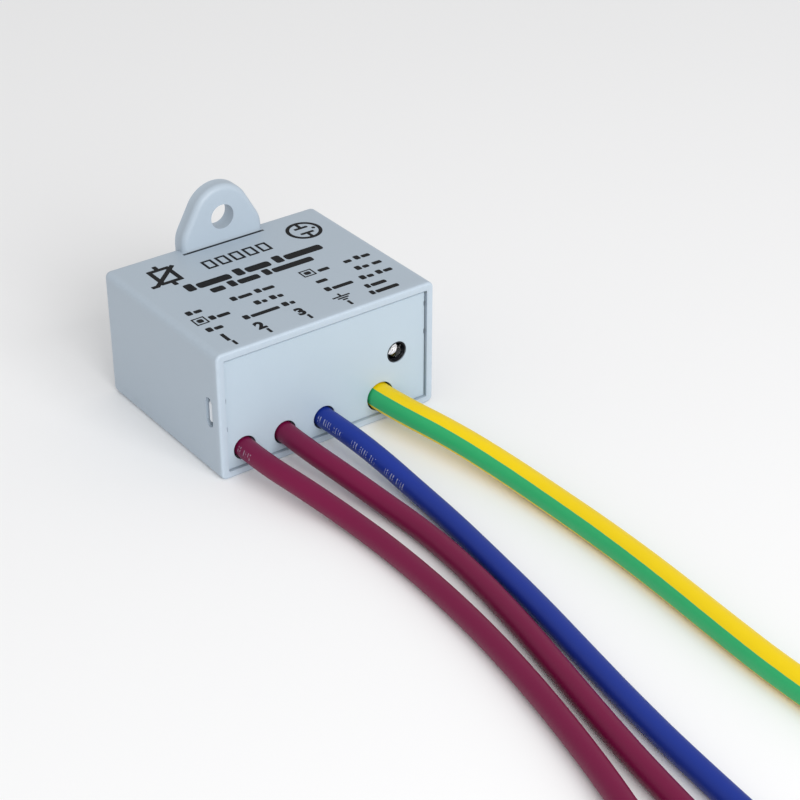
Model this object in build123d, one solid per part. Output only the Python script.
from build123d import *
import os
from math import radians, sqrt, tan

# Wired surge protector module: a moulded box with a screw ear, closed by a
# snap-in front cover that four leads and an indicator lamp come through.
# Millimetres. X runs along the cover, +Y points to the back wall, +Z is up,
# and the origin is the middle of the underside.

# Box
body_width = 38.0
body_depth = 32.0
body_height = 20.8
wall = 1.2
back_wall = 1.4
edge_round = 1.0
rim_round = 0.4
cavity_corner = 0.25

# Screw ear on the back edge of the top
ear_width = 14.3
ear_rise = 9.5
ear_shoulder = 2.2
ear_shoulder_round = 5.0
ear_crown_radius = 5.2
ear_thickness = 2.5
ear_front_round = 0.9
ear_foot = 2.0
ear_offset = 0.75
ear_hole_diameter = 4.0
ear_hole_height = 4.3
ear_groove_width = 0.4
ear_groove_depth = 0.5

# Ribs that carry the board and blocks that stop the cover
rib_width = 0.8
rib_height = 0.5
rib_from_left = 6.2
rib_from_right = 3.7
stop_width = 1.2
stop_length = 2.0
stop_depth = 0.8
stop_spread = 18.0

# Front cover
cover_thickness = 1.2
cover_recess = 0.45
cover_side_gap = 0.12
cover_bottom_gap = 0.03
cover_top_gap = 0.42
cover_edge_break = 0.1
rail_thickness = 0.8
rail_length = 18.0
rail_top_gap = 0.7
board_grip_gap = 0.05

# Snap latches, one in each rail of the cover
latch_width = 3.9
latch_slit = 0.8
latch_reach = 8.0
latch_tip_gap = 0.15
latch_root_gap = 0.03
left_latch_height = 10.45
right_latch_from_top = 5.9
nose_width = 1.35
nose_recess = 0.25
nose_ramp = 0.35
window_end_gap = 0.5
window_side_gap = 0.2
slit_notch_depth = 0.2

# Leads
line_diameter = 3.2
line_core_diameter = 1.5
earth_diameter = 4.2
earth_core_diameter = 2.3
core_above_board = 0.2
first_lead_from_left = 4.3
lead_pitch = 6.95
earth_from_right = 9.6
lead_hole_clearance = 0.3
stripped_length = 7.0
insulation_inside = 3.0
core_bend = 1.6
core_bend_slack = 0.2
core_drop_behind_insulation = 3.8

# Circuit board
board_thickness = 1.0
board_side_gap = 0.3
board_front_gap = 3.5
board_back_gap = 0.6
track_thickness = 0.05
track_width = 1.4
pin_clearance = 0.1
solder_height = 0.3
solder_spread = 0.45
solder_neck = 0.15
pin_overhang = 0.05
joined_pins = [(0, 8), (1, 9), (2, 7), (3, 11)]

# Varistors and the thermal fuse held between them
varistor_diameter = 15.0
varistor_thickness = 4.6
varistor_edge = 1.5
varistor_pitch = 7.5
varistor_stagger = 0.9
varistor_pin_diameter = 0.8
varistor_pin_depth = 1.5
varistor_from_left = 10.3
varistor_stand_off = 0.6
first_varistor_from_cover = 12.4
fuse_diameter = 3.4
fuse_length = 9.0
fuse_seal_length = 1.2
fuse_can_round = 0.4
fuse_seal_step = 0.2
fuse_seal_collar = 0.4
fuse_pin_diameter = 0.9
fuse_pin_span = 13.8
fuse_height = 9.3
fuse_gap = 0.05

# Gas discharge tube
gas_tube_diameter = 8.0
gas_tube_length = 6.0
gas_tube_cap = 0.9
gas_tube_cap_lip = 0.15
gas_tube_cap_round = 0.2
gas_tube_pin_diameter = 0.8
gas_tube_pin_span = 10.4
gas_tube_stand_off = 0.5
gas_tube_from_right = 9.8
gas_tube_from_back = 6.1

# Indicator lamp and its feed
lamp_hole_diameter = 3.5
lamp_diameter = 2.9
lamp_length = 4.6
lamp_flange_diameter = 3.6
lamp_flange_thickness = 0.9
lamp_from_right = 6.5
lamp_height = 10.65
lamp_proud = 0.2
lamp_pin_size = 0.5
lamp_pin_pitch = 2.54
lamp_pin_run = 1.8
lamp_post_depth = 2.3
lamp_cup_diameter = 1.7
lamp_cup_depth = 0.5
lamp_cup_wall = 0.25
lamp_cup_gap = 0.1
holder_diameter = 5.0
holder_clearance = 0.05
holder_recess = 0.05
holder_edge_break = 0.08
resistor_diameter = 2.4
resistor_waist = 0.15
resistor_round = 0.3
resistor_length = 6.4
resistor_pitch = 3.2
first_resistor_from_cover = 9.7
feed_from_right = 11.6
feed_pin_diameter = 0.6
feed_pin_span = 10.0
feed_stand_off = 0.3
diode_diameter = 2.7
diode_length = 5.2
diode_edge_break = 0.2

pin_bend = 0.8

# Planes that the pieces share
left = -body_width / 2
right = body_width / 2
front = -body_depth / 2
back = body_depth / 2
inner_left = left + wall
inner_right = right - wall
inner_back = back - back_wall
inner_top = body_height - wall
cover_front = front + cover_recess
cover_rear = cover_front + cover_thickness
board_bottom = wall + rib_height
board_top = board_bottom + board_thickness
lead_height = board_top + earth_core_diameter / 2 + core_above_board
board_front = cover_rear + board_front_gap
board_back = inner_back - board_back_gap
pin_end = board_bottom - track_thickness - solder_height - pin_overhang

# Places of the parts
ear_x = ear_offset
ear_hole_z = body_height + ear_hole_height
line_in_x = left + first_lead_from_left
line_out_x = line_in_x + lead_pitch
neutral_x = line_out_x + lead_pitch
earth_x = right - earth_from_right
lamp_x = right - lamp_from_right
varistor_x = inner_left + varistor_from_left
varistor_z = board_top + varistor_stand_off + varistor_diameter / 2
line_varistor_y = cover_rear + first_varistor_from_cover
fuse_y = line_varistor_y + (varistor_thickness + fuse_diameter) / 2 + fuse_gap
earth_varistor_y = fuse_y + (varistor_thickness + fuse_diameter) / 2 + fuse_gap
fuse_z = board_top + fuse_height
gas_tube_x = inner_right - gas_tube_from_right
gas_tube_y = inner_back - gas_tube_from_back
gas_tube_z = board_top + gas_tube_stand_off + gas_tube_diameter / 2
feed_x = inner_right - feed_from_right
resistor_y = [cover_rear + first_resistor_from_cover + step * resistor_pitch for step in range(2)]
diode_y = resistor_y[-1] + resistor_pitch
feed_z = board_top + feed_stand_off
core_drop_y = cover_rear + insulation_inside + core_drop_behind_insulation
latch_hinge_y = cover_rear + latch_reach
latch_tip_y = cover_rear + latch_tip_gap
right_latch_height = body_height - right_latch_from_top
window_width = nose_width + 2 * window_side_gap
window_length = latch_width + 2 * window_end_gap
window_y = latch_tip_y + window_width / 2
lamp_tip_y = cover_front - lamp_proud
lamp_rear_y = lamp_tip_y + lamp_length
lamp_pin_y = lamp_rear_y + lamp_pin_run

# Leads: name, diameter over the insulation, core diameter, place across the box
leads = {
    "line_in": (line_diameter, line_core_diameter, line_in_x),
    "line_out": (line_diameter, line_core_diameter, line_out_x),
    "neutral": (line_diameter, line_core_diameter, neutral_x),
    "earth": (earth_diameter, earth_core_diameter, earth_x),
}

# Routes of the leads outside the box, from the front plane of the box to the
# end of the insulation. They sag on to the surface and then lie on it.
routes = {
    "line_in": [
        (-14.7, -16.0, 4.05), (-14.7, -21.0, 4.05), (-13.0, -28.5, 3.2), (-11.2, -36.5, 1.9),
        (-10.6, -46.0, 1.65), (-10.8, -56.5, 1.6), (-11.7, -67.5, 1.6), (-13.4, -79.0, 1.6),
        (-15.8, -91.0, 1.6), (-18.6, -102.0, 1.6), (-21.6, -112.0, 1.6),
    ],
    "line_out": [
        (-7.75, -16.0, 4.05), (-7.75, -21.0, 4.05), (-6.5, -28.5, 3.2), (-5.0, -36.5, 1.9),
        (-4.4, -46.0, 1.65), (-5.0, -56.5, 1.6), (-6.5, -67.0, 1.6), (-8.6, -78.0, 1.6),
        (-10.9, -89.5, 1.6), (-12.9, -101.0, 1.6), (-14.3, -112.5, 1.6),
    ],
    "neutral": [
        (-0.8, -16.0, 4.05), (-0.8, -21.0, 4.05), (-0.2, -28.5, 3.2), (0.6, -36.5, 1.9),
        (0.2, -46.0, 1.65), (-1.1, -56.5, 1.6), (-2.5, -67.0, 1.6), (-4.3, -78.0, 1.6),
        (-6.1, -89.5, 1.6), (-7.5, -101.0, 1.6), (-8.4, -112.5, 1.6),
    ],
    "earth": [
        (9.4, -16.0, 4.05), (9.4, -21.5, 4.05), (11.1, -30.5, 3.3), (13.0, -40.0, 2.35),
        (13.9, -50.5, 2.15), (14.2, -61.5, 2.1), (13.8, -73.0, 2.1), (13.0, -85.0, 2.1),
        (12.5, -97.0, 2.1), (12.8, -109.0, 2.1),
    ],
}


def block(x_range, y_range, z_range):
    """A box between two values on each axis."""
    size = [high - low for low, high in (x_range, y_range, z_range)]
    middle = [(high + low) / 2 for low, high in (x_range, y_range, z_range)]
    return Pos(*middle) * Box(*size)


def rod(radius, start, end):
    """A round bar between two points."""
    line = Vector(*end) - Vector(*start)
    place = Plane(origin=start, z_dir=line)
    return place * Cylinder(radius, line.length, align=(Align.CENTER, Align.CENTER, Align.MIN))


def bent_rod(radius, points, bends):
    """A round bar along straight runs joined by tangent arcs."""
    path = FilletPolyline(*points, radius=bends)
    section = Plane(origin=path @ 0, z_dir=path % 0) * Circle(radius)
    return sweep(section, path=path)


def group(shapes):
    """Separate solids kept together in one piece of the assembly."""
    return Compound(children=[solid for shape in shapes for solid in shape.solids()])


def axial_pins(middle, half_body, span, radius):
    """Two leads that leave the ends of a part lying along X and turn down through the board."""
    x, y, z = middle
    pins = []
    for side in (-1, 1):
        turn = x + side * span / 2
        points = [(x + side * half_body, y, z), (turn, y, z), (turn, y, pin_end)]
        pins.append(bent_rod(radius, points, pin_bend))
    return pins


def window_slot(side, height):
    """The slot through a side wall that a latch nose snaps into."""
    middle_of_wall = Plane((side * (right - wall / 2), 0, 0), x_dir=(0, 1, 0), z_dir=(1, 0, 0))
    outline = middle_of_wall * Pos(window_y, height) * SlotOverall(window_length, window_width, rotation=90)
    return extrude(outline, amount=wall, both=True)


def screw_ear():
    """The flat ear with a rounded crown that stands on the back edge of the top."""
    crown_z = body_height + ear_rise - ear_crown_radius
    foot_z = body_height - ear_foot
    shoulder_z = body_height + ear_shoulder
    crown = Pos(ear_x, crown_z) * Circle(ear_crown_radius)
    foot = Pos(ear_x, (foot_z + shoulder_z) / 2) * Rectangle(ear_width, shoulder_z - foot_z)
    outline = make_hull([*crown.edges(), *foot.edges()])
    back_plane = Plane((0, back, 0), x_dir=(1, 0, 0), z_dir=(0, -1, 0))
    ear = extrude(back_plane * outline, amount=ear_thickness)
    low, high = (foot_z + shoulder_z) / 2, (shoulder_z + crown_z) / 2
    shoulders = [edge for edge in ear.edges().filter_by(Axis.Y) if low < edge.center().Z < high]
    ear = fillet(shoulders, ear_shoulder_round)
    face = ear.faces().sort_by(Axis.Y)[0]
    rim = [edge for edge in face.edges() if edge.center().Z > (foot_z + body_height) / 2]
    ear = fillet(rim, ear_front_round)
    hole_ends = (ear_x, back + 1, ear_hole_z), (ear_x, back - 2 * ear_thickness, ear_hole_z)
    return ear - rod(ear_hole_diameter / 2, *hole_ends)


def housing_shell():
    """The moulded box: five walls, open at the front, with the screw ear on top."""
    shell = block((left, right), (front, back), (0, body_height))
    rounded = [*shell.edges().filter_by(Axis.Y), *shell.faces().sort_by(Axis.Y)[-1].edges()]
    shell = fillet(rounded, edge_round)
    shell = fillet(shell.faces().sort_by(Axis.Y)[0].edges(), rim_round)
    shell += screw_ear()
    cavity = block((inner_left, inner_right), (front - 1, inner_back), (wall, inner_top))
    shell -= fillet(cavity.edges().filter_by(Axis.Y), cavity_corner)
    ear_front = back - ear_thickness
    half_groove = ear_width / 2 - ear_front_round / 2
    shell -= block(
        (ear_x - half_groove, ear_x + half_groove),
        (ear_front - ear_groove_width, ear_front),
        (body_height - ear_groove_depth, body_height + 1),
    )
    shell -= window_slot(-1, left_latch_height)
    shell -= window_slot(1, right_latch_height)
    for rib_x in (left + rib_from_left, right - rib_from_right):
        span = (rib_x - rib_width / 2, rib_x + rib_width / 2)
        shell += block(span, (cover_rear, inner_back), (wall, board_bottom))
    for stop_x in (-stop_spread / 2, stop_spread / 2):
        span = (stop_x - stop_width / 2, stop_x + stop_width / 2)
        shell += block(span, (cover_rear, cover_rear + stop_length), (inner_top - stop_depth, inner_top))
    return shell


def front_cover():
    """The cover plate, its two side rails, the lamp socket and the holes for leads and lamp."""
    plate_bottom = wall + cover_bottom_gap
    plate_top = inner_top - cover_top_gap
    plate_left = inner_left + cover_side_gap
    plate_right = inner_right - cover_side_gap
    cover = block((plate_left, plate_right), (cover_front, cover_rear), (plate_bottom, plate_top))
    cover = fillet(cover.edges().filter_by(Axis.Y), cavity_corner)
    cover = chamfer(cover.faces().sort_by(Axis.Y)[0].edges(), cover_edge_break)
    for side, height in ((-1, left_latch_height), (1, right_latch_height)):
        outer = side * (inner_right - cover_side_gap)
        inner = outer - side * rail_thickness
        rail_x = (min(outer, inner), max(outer, inner))
        rail_z = (board_top + board_grip_gap, inner_top - rail_top_gap)
        rail = block(rail_x, (cover_rear, cover_rear + rail_length), rail_z)
        half_slot = latch_width / 2 + latch_slit
        slot_end = latch_hinge_y + rail_thickness / 2 + latch_root_gap
        slot_x = (rail_x[0] - 1, rail_x[1] + 1)
        rail -= block(slot_x, (cover_rear, slot_end), (height - half_slot, height + half_slot))
        cover += rail
        for slit in (-1, 1):
            middle = height + slit * (latch_width + latch_slit) / 2
            notch = outer - side * slit_notch_depth
            notch_x = (min(notch, outer + side), max(notch, outer + side))
            notch_z = (middle - latch_slit / 2, middle + latch_slit / 2)
            cover -= block(notch_x, (cover_front - 1, cover_rear), notch_z)
    for diameter, _, x in leads.values():
        hole = diameter / 2 + lead_hole_clearance
        cover -= rod(hole, (x, cover_front - 1, lead_height), (x, cover_rear + 1, lead_height))
    lamp_hole_ends = (lamp_x, cover_front - 1, lamp_height), (lamp_x, cover_rear + 1, lamp_height)
    return cover - rod(lamp_hole_diameter / 2, *lamp_hole_ends)


def latch(side, height):
    """A sprung tongue that is free at the cover and rooted in the rail, with a nose for the window."""
    outer = side * (inner_right - cover_side_gap)
    middle = outer - side * rail_thickness / 2
    half = latch_width / 2
    arm_x = (min(outer, outer - side * rail_thickness), max(outer, outer - side * rail_thickness))
    low, high = height - half, height + half
    arm = block(arm_x, (latch_tip_y, latch_hinge_y), (low, high))
    arm += rod(rail_thickness / 2, (middle, latch_hinge_y, low), (middle, latch_hinge_y, high))
    nose_plane = Plane((outer, 0, 0), x_dir=(0, 1, 0), z_dir=(side, 0, 0))
    nose_place = nose_plane * Pos(window_y, side * height)
    outline = nose_place * SlotOverall(latch_width, nose_width, rotation=90)
    nose = extrude(outline, amount=right - abs(outer) - nose_recess)
    crest = nose.faces().sort_by(Axis.X)[-1 if side > 0 else 0]
    nose = chamfer(crest.edges(), nose_ramp)
    return arm + nose


def pin_table():
    """Every pin that goes through the board: place and radius."""
    table = [(x, core_drop_y, core / 2) for _, core, x in leads.values()]
    for y in (line_varistor_y, earth_varistor_y):
        for side in (-1, 1):
            x = varistor_x + side * varistor_pitch / 2
            table.append((x, y + side * varistor_stagger, varistor_pin_diameter / 2))
    axial = [
        (varistor_x, fuse_y, fuse_pin_span, fuse_pin_diameter),
        (gas_tube_x, gas_tube_y, gas_tube_pin_span, gas_tube_pin_diameter),
        (feed_x, diode_y, feed_pin_span, feed_pin_diameter),
    ]
    axial += [(feed_x, y, feed_pin_span, feed_pin_diameter) for y in resistor_y]
    for x, y, span, diameter in axial:
        table += [(x + side * span / 2, y, diameter / 2) for side in (-1, 1)]
    lamp_pin_radius = lamp_pin_size / sqrt(2)
    table += [(lamp_x + side * lamp_pin_pitch / 2, lamp_pin_y, lamp_pin_radius) for side in (-1, 1)]
    return table


def circuit_board():
    """The board, gripped between the floor ribs and the rails of the cover."""
    board = block(
        (inner_left + board_side_gap, inner_right - board_side_gap),
        (board_front, board_back),
        (board_bottom, board_top),
    )
    for x, y, radius in pin_table():
        board -= rod(radius + pin_clearance, (x, y, board_bottom - 1), (x, y, board_top + 1))
    return board


def round_pins_cut(shapes, spare):
    """Shapes fused where they meet, with a hole round every pin."""
    layer = shapes[0].fuse(*shapes[1:])
    low, high = layer.bounding_box().min.Z - 1, layer.bounding_box().max.Z + 1
    layer -= [rod(radius + spare, (x, y, low), (x, y, high)) for x, y, radius in pin_table()]
    return layer.solids()


def copper_tracks():
    """A round pad under each pin, and tracks on top, with pads, between the pins that are joined."""
    pins = pin_table()
    under = (board_bottom - track_thickness, board_bottom)
    over = (board_top, board_top + track_thickness)
    half = track_width / 2
    pads = [rod(radius + solder_spread, (x, y, under[0]), (x, y, under[1])) for x, y, radius in pins]
    tracks = []
    for first, second in joined_pins:
        (x0, y0, _), (x1, y1, _) = pins[first], pins[second]
        tracks.append(block((x0 - half, x0 + half), (min(y0, y1) - half, max(y0, y1) + half), over))
        if abs(x1 - x0) > half:
            tracks.append(block((min(x0, x1), max(x0, x1)), (y1 - half, y1 + half), over))
        for x, y, radius in (pins[first], pins[second]):
            tracks.append(rod(radius + solder_spread, (x, y, over[0]), (x, y, over[1])))
    return Compound(children=[*round_pins_cut(pads, pin_clearance), *round_pins_cut(tracks, pin_clearance)])


def solder_joints():
    """A solder cone round each pin under the board."""
    cones = []
    middle = board_bottom - track_thickness - solder_height / 2
    for x, y, radius in pin_table():
        cones.append(Pos(x, y, middle) * Cone(radius + solder_neck, radius + solder_spread, solder_height))
    return Compound(children=round_pins_cut(cones, 0))


def varistor(y):
    """An epoxy-coated disc that stands on two pins: the disc and the pins."""
    pins = []
    for side in (-1, 1):
        x = varistor_x + side * varistor_pitch / 2
        drop = sqrt(varistor_diameter**2 - varistor_pitch**2) / 2
        top = varistor_z - drop + varistor_pin_depth
        place = (x, y + side * varistor_stagger)
        pins.append(rod(varistor_pin_diameter / 2, (*place, pin_end), (*place, top)))
    half = varistor_thickness / 2
    disc = rod(varistor_diameter / 2, (varistor_x, y - half, varistor_z), (varistor_x, y + half, varistor_z))
    disc = fillet(disc.edges().filter_by(GeomType.CIRCLE), varistor_edge)
    for pin in pins:
        disc -= pin
    return disc, group(pins)


def thermal_fuse():
    """The metal can, the resin seal at one end and the two leads of the thermal fuse."""
    middle = (varistor_x, fuse_y, fuse_z)
    start = varistor_x - fuse_length / 2
    end = varistor_x + fuse_length / 2
    can = rod(fuse_diameter / 2, (start, fuse_y, fuse_z), (end - fuse_seal_length, fuse_y, fuse_z))
    can = fillet(can.edges().sort_by(Axis.X)[0], fuse_can_round)
    seal_plane = Plane((end - fuse_seal_length, fuse_y, fuse_z), z_dir=(1, 0, 0))
    seal_radii = fuse_diameter / 2 - fuse_seal_step, fuse_pin_diameter / 2 + fuse_seal_collar
    seal = seal_plane * Cone(*seal_radii, fuse_seal_length, align=(Align.CENTER, Align.CENTER, Align.MIN))
    pins = axial_pins(middle, fuse_length / 2, fuse_pin_span, fuse_pin_diameter / 2)
    return can, seal, group(pins)


def gas_tube():
    """The ceramic ring, the two end caps and the two leads of the gas discharge tube."""
    y, z = gas_tube_y, gas_tube_z
    half_ring = gas_tube_length / 2 - gas_tube_cap
    ring_radius = gas_tube_diameter / 2 - gas_tube_cap_lip
    ring = rod(ring_radius, (gas_tube_x - half_ring, y, z), (gas_tube_x + half_ring, y, z))
    caps = []
    for side in (-1, 1):
        inner = gas_tube_x + side * half_ring
        cap = rod(gas_tube_diameter / 2, (inner, y, z), (inner + side * gas_tube_cap, y, z))
        caps.append(fillet(cap.edges().filter_by(GeomType.CIRCLE), gas_tube_cap_round))
    pins = axial_pins((gas_tube_x, y, z), gas_tube_length / 2, gas_tube_pin_span, gas_tube_pin_diameter / 2)
    return ring, group(caps), group(pins)


def lamp_leads():
    """The cup lead and the post lead: they start inside the lens, spread behind it and turn down."""
    half = lamp_pin_size / 2
    inside = lamp_rear_y - lamp_post_depth
    bridge = (lamp_rear_y - lamp_pin_size, lamp_rear_y)
    level = (lamp_height - half, lamp_height + half)
    pins = []
    for side in (-1, 1):
        x = lamp_x + side * lamp_pin_pitch / 4
        foot_x = lamp_x + side * lamp_pin_pitch / 2
        foot = (foot_x - half, foot_x + half)
        pin = block((x - half, x + half), (inside, lamp_rear_y), level)
        pin += block(sorted((x - side * half, foot_x + side * half)), bridge, level)
        pin += block(foot, (lamp_rear_y - half, lamp_pin_y + half), level)
        pin += block(foot, (lamp_pin_y - half, lamp_pin_y + half), (pin_end, lamp_height + half))
        pins.append(pin)
    cup_radius = lamp_cup_diameter / 2
    front_of_cup = (lamp_x, inside - lamp_cup_depth, lamp_height)
    cup = rod(cup_radius, front_of_cup, (lamp_x, inside, lamp_height))
    cup -= rod(cup_radius - lamp_cup_wall, front_of_cup, (lamp_x, inside - lamp_cup_depth / 2, lamp_height))
    keep_out = rod(cup_radius + lamp_cup_gap, front_of_cup, (lamp_x, inside + 2 * lamp_cup_gap, lamp_height))
    return pins[0] + cup, pins[1] - keep_out


def lamp_lens(leads_inside):
    """The clear lens: a domed barrel with a flange at its rear, cast round its two leads."""
    radius = lamp_diameter / 2
    dome_y = lamp_tip_y + radius
    flange_y = lamp_rear_y - lamp_flange_thickness
    rear = (lamp_x, lamp_rear_y, lamp_height)
    lens = rod(radius, (lamp_x, dome_y, lamp_height), rear)
    lens += Pos(lamp_x, dome_y, lamp_height) * Sphere(radius)
    lens += rod(lamp_flange_diameter / 2, (lamp_x, flange_y, lamp_height), rear)
    for pin in leads_inside:
        lens -= pin
    return lens


def lamp_holder():
    """The black holder: a thin sleeve through the cover and a collar behind it."""
    rear = (lamp_x, lamp_rear_y, lamp_height)
    sleeve_front = (lamp_x, cover_front + holder_recess, lamp_height)
    sleeve = rod(lamp_hole_diameter / 2 - holder_clearance, sleeve_front, rear)
    sleeve = chamfer(sleeve.edges().filter_by(GeomType.CIRCLE).sort_by(Axis.Y)[0], holder_edge_break)
    holder = sleeve + rod(holder_diameter / 2, (lamp_x, cover_rear, lamp_height), rear)
    holder -= rod(lamp_diameter / 2 + holder_clearance, (lamp_x, cover_front, lamp_height), rear)
    seat_front = (lamp_x, lamp_rear_y - lamp_flange_thickness, lamp_height)
    return holder - rod(lamp_flange_diameter / 2 + holder_clearance, seat_front, rear)


def feed_resistors():
    """Two film resistors, side by side, that feed the lamp: bodies and leads."""
    bodies = []
    pins = []
    z = feed_z + resistor_diameter / 2
    for y in resistor_y:
        half = resistor_length / 2
        body = rod(resistor_diameter / 2 - resistor_waist, (feed_x - half, y, z), (feed_x + half, y, z))
        for side in (-1, 1):
            end = feed_x + side * half
            body += rod(resistor_diameter / 2, (end, y, z), (end - side * resistor_length / 4, y, z))
        bodies.append(fillet(body.edges().sort_by(Axis.X)[0], resistor_round))
        pins += axial_pins((feed_x, y, z), half, feed_pin_span, feed_pin_diameter / 2)
    return group(bodies), group(pins)


def feed_diode():
    """The moulded diode in the lamp feed: body and leads."""
    z = feed_z + diode_diameter / 2
    half = diode_length / 2
    body = rod(diode_diameter / 2, (feed_x - half, diode_y, z), (feed_x + half, diode_y, z))
    body = chamfer(body.edges().filter_by(GeomType.CIRCLE), diode_edge_break)
    return body, group(axial_pins((feed_x, diode_y, z), half, feed_pin_span, feed_pin_diameter / 2))


def inner_lead(diameter, core, x):
    """The end of a lead inside the box: its insulation, and the bare core soldered to the board."""
    insulation_end = cover_rear + insulation_inside
    insulation = rod(diameter / 2, (x, front, lead_height), (x, insulation_end, lead_height))
    corner = (x, core_drop_y, lead_height)
    bend = max(core_bend, core / 2 + core_bend_slack)
    bare = bent_rod(core / 2, [(x, insulation_end, lead_height), corner, (x, core_drop_y, pin_end)], bend)
    return insulation, bare


def lead_route(name, diameter):
    """The tube of a lead outside the box, with arcs as large as its runs allow."""
    points = [Vector(*point) for point in routes[name]]
    runs = [points[i + 1] - points[i] for i in range(len(points) - 1)]
    radii = []
    for before, after in zip(runs, runs[1:]):
        half_turn = radians(before.get_angle(after) / 2)
        radii.append(0.45 * min(before.length, after.length) / tan(half_turn))
    path = FilletPolyline(*points, radius=radii)
    section = Plane(origin=path @ 0, z_dir=path % 0) * Circle(diameter / 2)
    tube = sweep(section, path=path)
    share = tube.volume / (path.length * section.area)
    print(f"{name}: {path.length:.1f} mm, radii {[round(r) for r in radii]}, volume share {share:.4f}")
    return tube


def stripped_end(name, core):
    """The tinned end of a lead's core, past the end of its insulation."""
    last, before = Vector(*routes[name][-1]), Vector(*routes[name][-2])
    tip = last + (last - before).normalized() * stripped_length
    end = rod(core / 2, tuple(last), tuple(tip))
    rim = max(end.edges().filter_by(GeomType.CIRCLE), key=lambda edge: (edge.center() - last).length)
    return fillet(rim, core / 6)


def assemble():
    """Every piece of the module by name."""
    pieces = {
        "housing_shell": housing_shell(),
        "front_cover": front_cover(),
        "left_latch": latch(-1, left_latch_height),
        "right_latch": latch(1, right_latch_height),
        "circuit_board": circuit_board(),
        "copper_tracks": copper_tracks(),
        "solder_joints": solder_joints(),
    }
    for name, y in (("line_varistor", line_varistor_y), ("earth_varistor", earth_varistor_y)):
        pieces[name + "_disc"], pieces[name + "_pins"] = varistor(y)
    can, seal, pins = thermal_fuse()
    pieces.update(thermal_fuse_can=can, thermal_fuse_seal=seal, thermal_fuse_pins=pins)
    ring, caps, pins = gas_tube()
    pieces.update(gas_tube_ceramic=ring, gas_tube_caps=caps, gas_tube_pins=pins)
    cup_lead, post_lead = lamp_leads()
    pieces.update(lamp_cup_lead=cup_lead, lamp_post_lead=post_lead)
    pieces.update(lamp_lens=lamp_lens([cup_lead, post_lead]), lamp_holder=lamp_holder())
    pieces["feed_resistors"], pieces["feed_resistor_pins"] = feed_resistors()
    pieces["feed_diode"], pieces["feed_diode_pins"] = feed_diode()
    for name, (diameter, core, x) in leads.items():
        pieces[name + "_inner_insulation"], pieces[name + "_inner_core"] = inner_lead(diameter, core, x)
        pieces[name + "_lead"] = lead_route(name, diameter)
        pieces[name + "_stripped_end"] = stripped_end(name, core)
    return pieces


os.makedirs("parts", exist_ok=True)
for node, piece in assemble().items():
    piece.label = node
    export_step(piece, f"parts/{node}.step")
